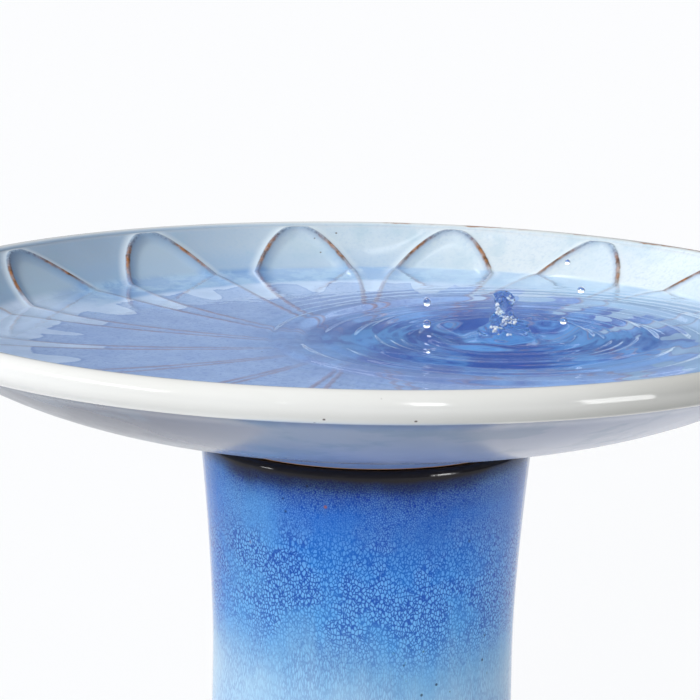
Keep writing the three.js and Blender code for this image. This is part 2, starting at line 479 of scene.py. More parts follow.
def pedestal_light_and_shade(n, base, side, depth):
    """Darker in the middle and brighter towards the left and right: painted shade in the middle, partly the
    glaze's own variation, painted light on the left and a painted reflection on the right.
    """
    upper = n.ramp(depth, 120, 75)
    # Painted shade in the middle, partly the glaze's own variation
    middle = n.times(n.ramp(side, -0.03, 0.015, 0.0, 0.3), n.ramp(depth, 70, 30))
    base = n.mix(middle, base, srgb(0, 40, 120))
    # Painted light on the left
    lit = n.times(n.ramp(side, -0.035, -0.055), n.ramp(side, -0.08, -0.072))
    lit = n.times(n.times(lit, 0.6), n.times(upper, n.ramp(depth, 8, 26)))
    base = n.mix(lit, base, srgb(110, 190, 250))
    # Painted light at the far left edge
    painted_light_far_left = n.times(n.ramp(side, -0.066, -0.078, 0.0, 0.6), upper)
    base = n.mix(painted_light_far_left, base, srgb(0, 140, 236))
    # Painted reflection of a pale surface on the right
    right = n.times(n.ramp(side, 0.05, 0.07, 0.0, 0.25), upper)
    base = n.mix(right, base, srgb(124, 176, 226))
    # Painted light lower down on the left
    painted_light_left = n.times(n.ramp(side, -0.03, -0.08), n.ramp(depth, 85, 130, 0.0, 0.6))
    painted_light_left = n.times(painted_light_left, n.ramp(depth, 290, 150))
    return n.mix(painted_light_left, base, srgb(192, 222, 238))


def make_pedestal_glaze():
    """Cobalt at the top running down to pale ice blue, with crystals, and a black shoulder."""
    material, n, shader = new_material("pedestal_glaze")
    place = n.position()
    side, front, height = n.split(place)
    depth = n.times(n.maths("SUBTRACT", PEDESTAL_TOP * MM, height), 1 / MM)
    sunk, runs, broad = glaze_run(n, place, depth)
    base = n.colours(n.maths("DIVIDE", sunk, GLAZED_DEPTH), [
        (0.00, srgb(0, 16, 48)),
        (0.018, srgb(0, 32, 88)),
        (0.032, srgb(0, 66, 156)),
        (0.052, srgb(8, 110, 214)),
        (0.080, srgb(24, 132, 232)),
        (0.118, srgb(44, 148, 238)),
        (0.165, srgb(88, 174, 242)),
        (0.208, srgb(138, 196, 236)),
        (0.240, srgb(164, 208, 238)),
        (0.96, srgb(218, 230, 238)),
    ])
    # Painted light and shade on the pedestal's sides
    base = pedestal_light_and_shade(n, base, side, depth)

    patch = n.ramp(n.noise(place, 34, 3, 0.6), 0.36, 0.6)
    reach = n.times(n.ramp(depth, 10, 48, 0.5, 1.0), n.ramp(depth, 128, 78, 0.4, 1.0))
    reach = n.times(reach, n.ramp(patch, 0, 1, 0.6, 1.0))
    lighter = n.mix(0.46, base, srgb(150, 212, 255))
    darker = n.mix(0.78, base, srgb(0, 46, 172))
    base = n.mix(reach, base, n.mix(crystals(n, place, sunk), darker, lighter))

    patches = n.ramp(n.noise(place, 18, 2), 0.56, 0.66)
    dark_spots = n.times(n.ramp(n.cells(place, 150), 0.16, 0.08), patches)
    base = n.mix(n.times(dark_spots, 0.8), base, srgb(20, 40, 70))
    rust = n.times(n.ramp(n.cells(place, 42), 0.06, 0.03), n.ramp(depth, 60, 20))
    base = n.mix(n.times(rust, 0.7), base, srgb(170, 96, 40))

    uneven = n.ramp(n.noise(place, 30, 3, 0.6), 0.3, 0.7, -1.4, 1.4, False)
    narrower = n.ramp(n.maths("ABSOLUTE", front), 0.02, 0.085, 4.2, 0.0)
    lowered = n.plus(n.plus(depth, uneven), narrower)
    base = n.mix(n.ramp(lowered, 16, 7, 0.0, 0.75), base, srgb(4, 16, 50))
    base = n.mix(n.ramp(lowered, 8.2, 4.8), base, srgb(34, 31, 34))
    clay = n.ramp(depth, GLAZED_DEPTH - 2.5, GLAZED_DEPTH - 0.5)
    n.put(shader.inputs["Base Color"], n.mix(clay, base, srgb(176, 140, 104)))

    gloss = n.plus(n.ramp(runs, 0.3, 0.7, 0.05, 0.12), n.times(clay, 0.6))
    n.put(shader.inputs["Roughness"], gloss)
    n.put(shader.inputs["Normal"], n.bump(n.plus(broad, n.times(runs, 0.25)), 0.3, 0.004))
    shader.inputs["IOR"].default_value = 1.42
    shader.inputs["Specular IOR Level"].default_value = 0.27
    return material


def make_bare_clay():
    """Unglazed buff stoneware, where a piece stands or is held in the kiln."""
    material, n, shader = new_material("bare_clay")
    place = n.position()
    grain = n.noise(place, 600, 5, 0.7)
    tone = n.mix(n.ramp(n.noise(place, 30, 4), 0.35, 0.65), srgb(186, 132, 84), srgb(206, 160, 112))
    n.put(shader.inputs["Base Color"], n.mix(n.ramp(grain, 0.55, 0.75, 0, 0.5), tone, srgb(120, 84, 56)))
    n.put(shader.inputs["Roughness"], n.ramp(grain, 0.3, 0.7, 0.7, 0.9))
    n.put(shader.inputs["Normal"], n.bump(grain, 0.5, 0.0006))
    return material


def make_ring_rubber():
    """Matt black rubber, a little dusty."""
    material, n, shader = new_material("ring_rubber")
    place = n.position()
    grain = n.noise(place, 900, 4, 0.6)
    n.put(shader.inputs["Base Color"], n.mix(n.ramp(grain, 0.4, 0.7), srgb(34, 34, 36), srgb(58, 57, 58)))
    n.put(shader.inputs["Roughness"], n.ramp(grain, 0.3, 0.7, 0.62, 0.82))
    n.put(shader.inputs["Normal"], n.bump(grain, 0.3, 0.0003))
    return material


def make_water():
    """Clear water with a very slight unevenness."""
    material, n, shader = new_material("water")
    shader.inputs["Base Color"].default_value = (1, 1, 1, 1)
    shader.inputs["Transmission Weight"].default_value = 1.0
    shader.inputs["IOR"].default_value = 1.333
    shader.inputs["Roughness"].default_value = 0.0
    ripple = n.noise(n.position(), 90, 2, 0.5)
    n.put(shader.inputs["Normal"], n.bump(ripple, 0.05, 0.002))
    return material


def make_glint_spray():
    """Tiny drops, whiter than clear water: partly spray full of air, partly painted highlight standing in
    for the splash's glints.
    """
    material, n, shader = new_material("glint_spray")
    grain = n.noise(n.position(), 700, 3, 0.6)
    tone = n.mix(n.ramp(grain, 0.35, 0.65), srgb(206, 220, 240), srgb(255, 255, 255))
    n.put(shader.inputs["Base Color"], tone)
    n.put(shader.inputs["Roughness"], n.ramp(grain, 0.3, 0.7, 0.05, 0.2))
    shader.inputs["Transmission Weight"].default_value = 0.1
    shader.inputs["IOR"].default_value = 1.333
    return material


BASIN_GLAZE = make_basin_glaze()
UNDERSIDE_GLAZE = make_underside_glaze()
PEDESTAL_GLAZE = make_pedestal_glaze()
BARE_CLAY = make_bare_clay()
RING_RUBBER = make_ring_rubber()
WATER = make_water()
GLINT_SPRAY = make_glint_spray()


# -------- basin

# Mesh columns on each side of a petal's middle: up to its edge, and on to halfway to the next
COLUMNS_IN = 12
COLUMNS_OUT = 8
BUNCHING = 1.5
LEAST_HALF_WIDTH = 2.2
# Each petal's lean in degrees, its top above the others in millimetres, and how wide it is
SHAPES = [(random.uniform(-0.5, 0.5), random.uniform(-1.3, 0.8), random.uniform(0.96, 1.04))
          for _ in range(PETALS)]
# Radii where the wall's pale glaze ends, and how far its notches and tongues reach
PALE_IN_PETAL, NOTCH = 180, 24
PALE_BETWEEN, TONGUE = 149, 34
# Distances to an edge are stored up to this far; FAR is off the rim's brown line
STORED_REACH = 12
FAR = 20


def floor_depth(radius):
    """Depth of the bowl's inside below the crest."""
    return FLOOR_DEPTH - (FLOOR_DEPTH - WALL_TOP_DEPTH) * (radius / WALL_TOP_RADIUS) ** FLOOR_CURVE


def underside_depth(radius):
    """Depth of the bowl's underside below the crest."""
    rise = (UNDERSIDE_DEPTH - UNDERSIDE_TOP_DEPTH) * (radius / UNDERSIDE_TOP_RADIUS) ** UNDERSIDE_CURVE
    return UNDERSIDE_DEPTH - rise


def half_width(radius, top, scale):
    """Half the angle across a petal at a radius, in degrees: an arch above, nearly straight below."""
    up = np.clip((radius - ARCH_FOOT) / (top - ARCH_FOOT), 0, 1)
    arch = ARCH_HALF * (1 - up) ** ARCH_POWER
    narrowed = (EDGE_HALF_INNER - ARCH_HALF) * np.exp((radius - ARCH_FOOT) / EDGE_SPREAD)
    return scale * np.where(radius > ARCH_FOOT, arch, EDGE_HALF_INNER - narrowed)


def inner_radii():
    """Radii of the mesh rows inside the bowl, closest together on the wall."""
    middle = np.linspace(2, 56, 9)
    floor = np.linspace(60, 203, 42)
    wall = np.linspace(204.4, WALL_END, 50)
    return np.concatenate([middle, floor, wall])


def petal_columns(radii):
    """Angles of the mesh columns in degrees, one row for each radius, bunched along the petal edges."""
    into = 1 - (1 - np.arange(1, COLUMNS_IN) / COLUMNS_IN) ** BUNCHING
    out = (np.arange(COLUMNS_OUT + 1) / COLUMNS_OUT) ** BUNCHING
    angles = []
    for index, (lean, taller, wider) in enumerate(SHAPES):
        width = np.maximum(half_width(radii, ARCH_TOP + taller, wider), LEAST_HALF_WIDTH)[:, None]
        left, right = (np.concatenate([width * into, width + (PITCH / 2 + tilt - width) * out], 1)
                       for tilt in (lean, -lean))
        middle = np.zeros((len(radii), 1))
        # The outermost column on the left is the last petal's outermost on the right
        turn = np.concatenate([-left[:, -2::-1], middle, right], 1)
        angles.append(FIRST_PETAL + PITCH * index + lean + turn)
    return np.concatenate(angles, 1)


def distance_to_curve(x, y, curve_x, curve_y, stretch=40):
    """Shortest distance from each point to a curve, worked out over one stretch of its pieces at a time."""
    gap = np.full(x.shape, np.inf)
    for start in range(0, len(curve_x), stretch):
        cx, cy = curve_x[start:start + stretch + 1], curve_y[start:start + stretch + 1]
        ax, ay, dx, dy = cx[:-1], cy[:-1], np.diff(cx), np.diff(cy)
        length = np.maximum(dx * dx + dy * dy, 1e-12)
        t = np.clip(((x[..., None] - ax) * dx + (y[..., None] - ay) * dy) / length, 0, 1)
        near = np.hypot(x[..., None] - ax - t * dx, y[..., None] - ay - t * dy)
        gap = np.minimum(gap, near.min(-1))
    return gap


def petal_fields(radii, angles):
    """Signed distance to the nearest petal's edge (inside is above 0) and the place across the petal."""
    path = np.concatenate([[0], np.cumsum(np.hypot(np.diff(radii), np.diff(floor_depth(radii))))])
    per_petal = angles.shape[1] // PETALS
    edge = np.zeros_like(angles)
    across = np.zeros_like(angles)
    for index, (lean, taller, wider) in enumerate(SHAPES):
        part = slice(index * per_petal, (index + 1) * per_petal)
        turn = angles[:, part] - (FIRST_PETAL + PITCH * index + lean)
        top = ARCH_TOP + taller
        rising = np.sin(np.linspace(0, math.pi / 2, 260))
        curve = np.concatenate([np.linspace(10, ARCH_FOOT, 220), ARCH_FOOT + (top - ARCH_FOOT) * rising])
        curve_x = np.radians(half_width(curve, top, wider)) * curve
        curve_y = np.interp(curve, radii, path)
        x = np.radians(np.abs(turn)) * radii[:, None]
        y = np.broadcast_to(path[:, None], x.shape)
        gap = distance_to_curve(x, y, curve_x, curve_y)
        width = half_width(np.broadcast_to(radii[:, None], x.shape), top, wider)
        inside = (np.abs(turn) < width) & (radii[:, None] < top)
        edge[:, part] = np.where(inside, gap, -gap)
        across[:, part] = turn / np.maximum(width, 0.5)
    return edge, across


def relief(edge, radii):
    """Height of the pressed petals: a dished middle, a fine raised edge and a soft shoulder outside."""
    fade = smoothstep(30, 90, radii) * (0.25 + 0.75 * smoothstep(150, 216, radii))
    fade = fade * smoothstep(WALL_END + 0.2, WALL_END - 3, radii)
    inside = -DISH_DEPTH * smoothstep(0.3, DISH_REACH, edge)
    ridge = RIDGE_HEIGHT * np.exp(-((edge / RIDGE_WIDTH) ** 2))
    shoulder = SHOULDER_HEIGHT * np.exp(-np.maximum(-edge, 0) / SHOULDER_REACH)
    return (inside + ridge + shoulder) * fade[:, None]


def outer_outline():
    """Stretches of the basin's outline: lip, roll under it, underside, foot, and spigot with its recess."""
    seat = CREST_Z - SEAT_DEPTH
    recess = CREST_Z - RECESS_DEPTH
    under_start = BASIN_RADIUS - ROLL_WIDTH
    lip = arc((BASIN_RADIUS - LIP_ROUND, CREST_Z - LIP_ROUND), LIP_ROUND, LIP_START, LIP_END, 15)
    roll = bezier(lip[-1], (BASIN_RADIUS - 3.8, CREST_Z - 14.6), (BASIN_RADIUS - 7, CREST_Z - 15.8),
                  (under_start, CREST_Z - underside_depth(under_start)), 6)[1:]
    under = [(r, CREST_Z - underside_depth(r)) for r in np.linspace(under_start - 8, FOOT_OUTER + 9, 16)]
    foot = bezier(under[-1], (FOOT_OUTER + 6, under[-1][1] - 0.6), (FOOT_OUTER + 4, seat + 4.4),
                  (FOOT_OUTER + 0.1, seat + 1.4), 5)[1:]
    foot += arc((FOOT_OUTER - 1, seat + 1), 1, 0, -90, 4)
    spigot = [(SPIGOT_OUTER + 1, seat), (SPIGOT_OUTER, seat - 1)]
    spigot += arc((SPIGOT_OUTER - 2, seat - SPIGOT_LENGTH + 1.5), 1.5, 0, -90, 3)
    spigot += [(SPIGOT_INNER + 2, seat - SPIGOT_LENGTH),
               (SPIGOT_INNER + 0.5, seat - SPIGOT_LENGTH + 1.5),
               (SPIGOT_INNER, recess - 1), (SPIGOT_INNER - 1, recess),
               (SPIGOT_INNER / 2, recess), (3, recess)]
    return lip, roll, under, foot, spigot


def store_inner_fields(basin, radii, angles, edge, across, outer_rows):
    """Stores what the glaze inside the bowl needs to know of each vertex."""
    def store(name, values, outside=0.0):
        full = np.concatenate([values, np.full((outer_rows, values.shape[1]), outside)])
        scalar(basin, name, np.append(full, [values[0, 0], outside]))

    r = np.broadcast_to(radii[:, None], angles.shape)
    turn = np.radians(angles)
    store("edge_mm", np.clip(edge, -STORED_REACH, STORED_REACH), -STORED_REACH)
    store("brown", smoothstep(ARCH_TOP - 3, ARCH_TOP - 14, r))
    store("halo", smoothstep(190, 225, r))

    # The pale wall ends with a notch in each petal and a tongue between two
    uneven = np.sin(np.floor(angles / PITCH) * 2.3 + 1)
    notch = 1 - (np.abs(across) * EDGE_HALF_INNER / (3.4 + uneven)) ** 2
    in_petal = PALE_IN_PETAL - NOTCH * np.sqrt(np.clip(notch, 0, 1))
    in_petal += 1.6 * np.sin(across * 7 + uneven * 5) * (np.abs(across) > 0.3)
    tongue = PALE_BETWEEN + 8 * uneven + TONGUE * np.clip(1 + edge / 1.6, 0, 1)
    limit = np.where(edge < 0, tongue, in_petal)
    store("pale_mm", np.clip(r - limit, -STORED_REACH, STORED_REACH), STORED_REACH)

    # The painted shade of deeper blue lies round a place a little behind the splash
    far = np.hypot(r * np.cos(turn) - SPLASH_X, r * np.sin(turn) - SPLASH_Y - 40)
    splash_shade = 0.97 * smoothstep(165, 55, far)
    store("splash_shade", splash_shade)
    legs = 0.55 + 0.45 * smoothstep(ARCH_TOP - 1, ARCH_TOP - 9, r)
    under_water = np.interp(r, [40, 70, 130, 150, 195, 216, 224], [0, 0.35, 0.6, 0.5, 0.3, 0.4, 1.0])
    store("line_strength", under_water * legs * (1 - 0.5 * splash_shade))


def store_rim_fields(basin, radii, outer, outer_turn, lip_rows, lip_glaze_rows):
    """Stores where the inner glaze ends on the lip, the brown line there, and the underside."""
    columns = outer_turn.shape[1]
    first = len(radii)
    all_radii = np.repeat(np.concatenate([radii, [radius for radius, _ in outer]])[:, None], columns, 1)
    scalar(basin, "radius_mm", np.append(all_radii, [0, 0]))

    path = np.cumsum(np.hypot(*np.diff(np.array(outer), axis=0).T))
    along = np.concatenate([[0], path[:lip_rows - 1]])[:, None]
    inner = np.zeros(all_radii.shape)
    inner[:first] = smoothstep(WALL_END + 4, WALL_END - 2, radii)[:, None]
    inner[first:first + lip_rows] = smoothstep(5.0, 0.5, along)
    scalar(basin, "inner", np.append(inner, [1, 0]))

    # The brown line is where rim_mm is 0: 4 mm along the lip, 30 degrees each way from right of the back
    from_back = (90 - np.degrees(outer_turn[:lip_rows]) + 180) % 360 - 180
    away = np.maximum(np.abs(from_back - 24) - 30, 0) * 0.5
    rim = np.full(all_radii.shape, float(FAR))
    rim[first:first + lip_rows] = along - 4.0 + away * (along - 4.0 < 15)
    scalar(basin, "rim_mm", np.append(rim, [FAR, FAR]))

    under = np.zeros(all_radii.shape)
    under[first + lip_glaze_rows:] = 1
    scalar(basin, "under", np.append(under, [0, 1]))


def make_basin():
    """The bowl, from its inside over the lip to the recess below."""
    radii = inner_radii()
    angles = petal_columns(radii)
    edge, across = petal_fields(radii, angles)
    height = CREST_Z - floor_depth(radii)[:, None] + relief(edge, radii)
    turn = np.radians(angles)
    inner = np.stack([radii[:, None] * np.cos(turn), radii[:, None] * np.sin(turn), height], 2)

    lip, roll, under, foot, spigot = outer_outline()
    outer = lip + roll + under + foot + spigot
    columns = angles.shape[1]
    # Over the lip, the columns go from the petals' places to even ones
    even = FIRST_PETAL - PITCH / 2 + PITCH * PETALS / columns * (1 + np.arange(columns))
    steps = np.clip(np.arange(len(outer)) / len(lip), 0, 1)[:, None]
    outer_turn = np.radians(angles[-1] * (1 - steps) + even * steps)
    rows = np.concatenate([inner, profile_rows(outer, outer_turn)])
    materials = [BASIN_GLAZE, BARE_CLAY, UNDERSIDE_GLAZE]
    poles = (0, 0, CREST_Z - FLOOR_DEPTH), (0, 0, CREST_Z - RECESS_DEPTH)
    basin = turned_mesh("basin_body", rows, materials, *poles)

    lip_glaze_rows = len(lip) + 3
    store_inner_fields(basin, radii, angles, edge, across, len(outer))
    store_rim_fields(basin, radii, outer, outer_turn, len(lip), lip_glaze_rows)

    under_from = (len(radii) + lip_glaze_rows) * columns
    bare_from = (len(radii) + len(outer) - len(spigot) - 3) * columns
    middle_from = (len(rows) - 1) * columns
    kinds = np.full(len(basin.data.polygons), materials.index(BASIN_GLAZE), np.int32)
    kinds[under_from:] = materials.index(UNDERSIDE_GLAZE)
    kinds[bare_from:] = materials.index(BARE_CLAY)
    kinds[middle_from:middle_from + columns] = materials.index(BASIN_GLAZE)
    basin.data.polygons.foreach_set("material_index", kinds)
    return basin


# -------- pedestal and ring

PEDESTAL_TOP_RADIUS = 90.5
SHOULDER = 4
WAIST_RADIUS = 83.3
WAIST_DEPTH = 195
WALL = 11
MOUTH_RADIUS = 74
MOUTH_DEPTH = 12
REBATE_OUTER = 82.1
BASE_ROUND = 6
FLARE_POWER = 2.1
TAPER_POWER = 1.6
PEDESTAL_COLUMNS = 192

RING_INNER, RING_OUTER = 75.5, 81.5
RING_CORNER = 0.7
RING_SLACK = 0.3
RING_COLUMNS = 160


def pedestal_radius(height):
    """Outer radius: widest at the base, narrowest at the waist and a little wider at the top."""
    waist = CREST_Z - WAIST_DEPTH
    up = np.clip((height - waist) / (PEDESTAL_TOP - SHOULDER - waist), 0, None)
    down = np.clip((waist - height) / waist, 0, None)
    taper = (PEDESTAL_TOP_RADIUS - WAIST_RADIUS) * up**TAPER_POWER
    return WAIST_RADIUS + taper + (BASE_RADIUS - WAIST_RADIUS) * down**FLARE_POWER


def make_pedestal():
    """A hollow column, from its base up the outside, into the mouth and down the inside."""
    shoulder_z = PEDESTAL_TOP - SHOULDER
    rebate = RING_LOW - RING_SLACK
    outside = np.linspace(BASE_ROUND + 4, shoulder_z - 3, 110)
    inside = np.linspace(shoulder_z - 2 * MOUTH_DEPTH, 2 * BASE_ROUND, 40)
    profile = arc((BASE_RADIUS - BASE_ROUND, BASE_ROUND), BASE_ROUND, -90, 0, 8)
    profile += [(float(pedestal_radius(z)), z) for z in outside]
    profile += arc((PEDESTAL_TOP_RADIUS - SHOULDER, shoulder_z), SHOULDER, 0, 90, 12)
    profile += [(REBATE_OUTER + 0.4, PEDESTAL_TOP), (REBATE_OUTER, PEDESTAL_TOP - 0.4)]
    profile += [(REBATE_OUTER, rebate), (MOUTH_RADIUS + 1, rebate)]
    profile += arc((MOUTH_RADIUS + 1, rebate - 1), 1, 90, 180, 4)[1:]
    profile += [(MOUTH_RADIUS, PEDESTAL_TOP - MOUTH_DEPTH)]
    profile += [(float(pedestal_radius(z)) - WALL, z) for z in inside]
    profile += [(BASE_RADIUS - WALL - BASE_ROUND, 0.0)]
    rows = profile_rows(profile, full_turn(PEDESTAL_COLUMNS))
    return turned_mesh("pedestal_body", rows, [PEDESTAL_GLAZE], ring=True)


def make_seat_ring():
    """The rubber ring's section is a rectangle with round corners."""
    inner, outer = RING_INNER + RING_CORNER, RING_OUTER - RING_CORNER
    low, high = RING_LOW + RING_CORNER, RING_HIGH - RING_CORNER
    corners = [(outer, low), (outer, high), (inner, high), (inner, low)]
    profile = []
    for number, centre in enumerate(corners):
        start = 90 * (number - 1)
        profile += arc(centre, RING_CORNER, start, start + 90, 5)
    rows = profile_rows(profile, full_turn(RING_COLUMNS))
    return turned_mesh("seat_ring_soft", rows, [RING_RUBBER], ring=True)


# -------- water

WATER_COLUMNS = 320
DROP_COLUMNS = 28
# How far the water goes into the glaze at the wall and the floor, so that no gap shows
WATER_IN_WALL = 4.5
WATER_IN_FLOOR = 3.6
# Beyond this distance, the rows draw in to follow the basin's wall
ROUND_ROWS = 100
LAST_ROW = 300
# Crests and troughs round the splash: height, distance from it and width
CRESTS = [(-2.8, 25, 9), (2.6, 41, 5.5), (1.8, 74, 5), (-1.0, 86, 5), (-0.9, 104, 6), (1.7, 118, 6.5)]


def water_level(x):
    """Height of the water at rest; it stands a little lower on the left."""
    return CREST_Z - WATER_DEPTH + WATER_TILT * x


def crest(distance, height, at, width):
    """One round wave, a trough where the height is below 0."""
    return height * np.exp(-(((distance - at) / width) ** 2))


def ripple(distance, turn):
    """Rings running out from the splash."""
    rings = sum(crest(distance, *shape) for shape in CRESTS)
    near = crest(distance, -1.0, 54, 5) + 0.3 * np.sin(distance * 2 * math.pi / 7)
    near = near * smoothstep(40, 48, distance) * smoothstep(98, 70, distance)
    outer = 0.26 * np.sin((distance - 92) * 2 * math.pi / 9.5)
    outer = outer * smoothstep(80, 98, distance) * smoothstep(172, 122, distance)
    uneven = 1 + 0.25 * np.sin(3 * turn + 0.6) + 0.15 * np.sin(7 * turn + distance / 17)
    return (rings + near + outer) * uneven


def splash_profile():
    """(distance from the splash's axis, height) from its tip to the water."""
    tip = bezier((0.15, 24.6), (3.8, 24.6), (4.8, 21.5), (4.9, 18), 14)
    neck = bezier((4.9, 18), (5.0, 15), (5.4, 12.5), (6.4, 10), 10)[1:]
    skirt = bezier((6.4, 10), (7.8, 7), (11, 3.4), (SPLASH_FOOT, -0.9), 20)[1:]
    return tip + neck + skirt


def splash_rows(turn, direction):
    """The water thrown up: a leaning column with uneven sides that widens into the ripples."""
    rows = []
    for distance, height in splash_profile():
        lobes = 1 + 0.22 * np.sin(2 * turn + height * 0.35) + 0.14 * np.sin(3 * turn - height * 0.6)
        lobes += 0.10 * np.sin(7 * turn + height * 1.1) * np.sin(height * 1.7)
        reach = distance * (1 + (lobes - 1) * smoothstep(0, 4, height))
        x = SPLASH_X + SPLASH_LEAN * np.clip(height / SPLASH_HEIGHT, 0, 1) + direction[:, 0] * reach
        y = SPLASH_Y + direction[:, 1] * reach
        fall = smoothstep(6, SPLASH_FOOT, distance)
        top = height + fall * (ripple(SPLASH_FOOT, turn) + 0.9)
        rows.append(np.column_stack([x, y, water_level(x) + top]))
    return rows


def reach_to_wall(direction):
    """How far the water reaches from the splash each way, found in ever closer steps."""
    along = direction @ [SPLASH_X, SPLASH_Y]
    reach = np.zeros(len(direction))
    for _ in range(40):
        level = FLOOR_DEPTH - (CREST_Z - water_level(SPLASH_X + direction[:, 0] * reach))
        share = level / (FLOOR_DEPTH - WALL_TOP_DEPTH)
        wall = WALL_TOP_RADIUS * share ** (1 / FLOOR_CURVE) + WATER_IN_WALL
        reach = -along + np.sqrt(np.maximum(along**2 - SPLASH_X**2 - SPLASH_Y**2 + wall**2, 0))
    return reach


def make_water_body():
    """One closed body: the splash, the rippled surface and, under them, the bowl's own shape."""
    turn = full_turn(WATER_COLUMNS)
    direction = np.stack([np.cos(turn), np.sin(turn)], 1)
    to_wall = reach_to_wall(direction)
    rows = splash_rows(turn, direction)
    for step in np.concatenate([np.linspace(SPLASH_FOOT + 1, 130, 120), np.linspace(132, LAST_ROW, 46)]):
        drawn_in = ROUND_ROWS + (to_wall - ROUND_ROWS) * (step - ROUND_ROWS) / (LAST_ROW - ROUND_ROWS)
        reach = np.minimum(step if step <= ROUND_ROWS else drawn_in, to_wall)
        xy = (SPLASH_X, SPLASH_Y) + direction * reach[:, None]
        calm = smoothstep(0, 14, to_wall - reach)
        rows.append(np.column_stack([xy, water_level(xy[:, 0]) + ripple(reach, turn) * calm]))
    for share in np.linspace(0.985, 0.02, 26):
        xy = (SPLASH_X, SPLASH_Y) + direction * (to_wall * share)[:, None]
        radius = np.hypot(xy[:, 0], xy[:, 1])
        rows.append(np.column_stack([xy, CREST_Z - floor_depth(radius) - WATER_IN_FLOOR]))
    rows = np.array(rows)
    tip = (SPLASH_X + SPLASH_LEAN, SPLASH_Y, float(rows[0, :, 2].mean()) + 0.02)
    under = (SPLASH_X, SPLASH_Y, float(rows[-1, :, 2].mean()))
    water = turned_mesh("water", rows, [WATER], tip, under)
    water.data.flip_normals()
    water.visible_shadow = False
    return water


def make_droplet(name, material, x, y, height, size, tall):
    """A drop of water in the air: a ball drawn out a little and blunter below."""
    turn = full_turn(DROP_COLUMNS)
    rows = []
    for down in np.linspace(0, math.pi, 16)[1:-1]:
        wide = size * math.sin(down) * (1 - 0.18 * math.cos(down))
        wide = wide * (1 + 0.06 * np.sin(2 * turn + down * 2))
        level = np.full(len(turn), height + size * tall * math.cos(down))
        rows.append(np.column_stack([x + wide * np.cos(turn), y + wide * np.sin(turn), level]))
    poles = (x, y, height + size * tall), (x, y, height - size * tall)
    drop = turned_mesh(name, np.array(rows), [material], *poles)
    drop.data.flip_normals()
    return drop


# White drops on the splash, partly spray and partly painted glints: x and y from it, lowest and highest
# place against the crest, spread, number
CLUSTERS = [((-4.6, -6.0), (-9.6, -4.6), 1.3, 12), ((1.2, -7.0), (-15.0, -11.0), 3.6, 16),
            ((-7.0, -8.4), (-19.6, -16.2), 2.0, 12), ((-1.0, -10.0), (-21.0, -19.6), 3.6, 5)]
# Each bead's x and y from the splash, height against the crest, size and stretch
random.seed(11)
BEADS = [(across + random.uniform(-spread, spread), ahead + random.uniform(-0.8, 0.6),
          random.uniform(low, high), random.uniform(0.4, 0.85), random.uniform(0.8, 1.2))
         for (across, ahead), (low, high), spread, count in CLUSTERS for _ in range(count)]

# Clear drops in the air: x, y, height against the crest, size and stretch
DROPLETS = [(31.3, -9, -5, 2.0, 1.2), (31.5, -9, -17, 2.2, 1.0), (104.6, -9, -14, 2.0, 0.9),
            (31, -65, -20.5, 1.2, 0.9), (113.4, -9, 3, 2.1, 0.8), (105.6, -9, 18, 1.5, 0.9)]


# -------- the pieces on their bodies

def attach(piece, body, slot, *nodes):
    """Lets a piece ride on a CAD body, in place of the named CAD nodes; its slot argument is not used."""
    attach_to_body(piece, body)
    if nodes:
        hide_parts(*nodes)
    return piece


BASIN = attach(make_basin(), "basin", "basin_glaze", "basin")
PEDESTAL = attach(make_pedestal(), "pedestal", "pedestal_glaze", "pedestal")
attach(make_seat_ring(), "seat_ring", "ring_rubber", "seat_ring")
WATER_BODY = attach(make_water_body(), "basin", "water")
for number, (dx, dy, up, size, tall) in enumerate(BEADS, 1):
    bead = make_droplet(f"bead_{number}", GLINT_SPRAY, SPLASH_X + dx, SPLASH_Y + dy, CREST_Z + up, size, tall)
    attach(bead, "basin", "water")
DROPS = [attach(make_droplet(f"droplet_{number}", WATER, x, y, CREST_Z + up, size, tall), "basin", "water")
         for number, (x, y, up, size, tall) in enumerate(DROPLETS, 1)]


# -------- stage, light and camera

FLOOR_HALF = 60
KEY_STRENGTH = 0.55 * math.pi
FILL_STRENGTH = 0.22 * math.pi
REFLECTOR_DISTANCE = 2.4


def make_floor():
    """A plain pale floor that runs far behind the object."""
    material, _, shader = new_material("pale_floor")
    shader.inputs["Base Color"].default_value = (0.955, 0.955, 0.955, 1)
    shader.inputs["Roughness"].default_value = 0.9
    shader.inputs["Specular IOR Level"].default_value = 0.0
    mesh = bpy.data.meshes.new("floor")
    corners = [(-1, -1), (1, -1), (1, 1), (-1, 1)]
    mesh.from_pydata([(x * FLOOR_HALF, y * FLOOR_HALF, 0) for x, y in corners], [], [(0, 1, 2, 3)])
    mesh.materials.append(material)
    floor = add_object("floor", mesh)


def make_world():
    """A studio dome: dim near the horizon, bright overhead, brighter on the left."""
    world = bpy.data.worlds.new("studio")
    bpy.context.scene.world = world
    world.use_nodes = True
    tree = world.node_tree
    n = Nodes(tree)
    across, _, up = n.split(tree.nodes.new("ShaderNodeTexCoord").outputs["Generated"])
    colour = n.colours(n.maths("ADD", n.maths("MULTIPLY", up, 0.5), 0.5), [
        (0.0, (0.5, 0.5, 0.5, 1)),
        (0.5, (0.11, 0.17, 0.28, 1)),
        (0.62, (0.22, 0.26, 0.34, 1)),
        (0.8, (0.60, 0.60, 0.60, 1)),
        (1.0, (0.78, 0.78, 0.78, 1)),
    ])
    background = tree.nodes["Background"]
    n.put(background.inputs["Color"], colour)
    n.put(background.inputs["Strength"], n.ramp(across, -1, 1, 1.55, 0.45, False))


def sun_light(name, towards, strength, width):
    """A far soft source; towards points from the object to it."""
    data = bpy.data.lights.new(name, "SUN")
    data.energy = strength
    data.angle = math.radians(width)
    light = add_object(name, data)
    light.rotation_euler = Vector(towards).to_track_quat("Z", "Y").to_euler()
    light.visible_glossy = False


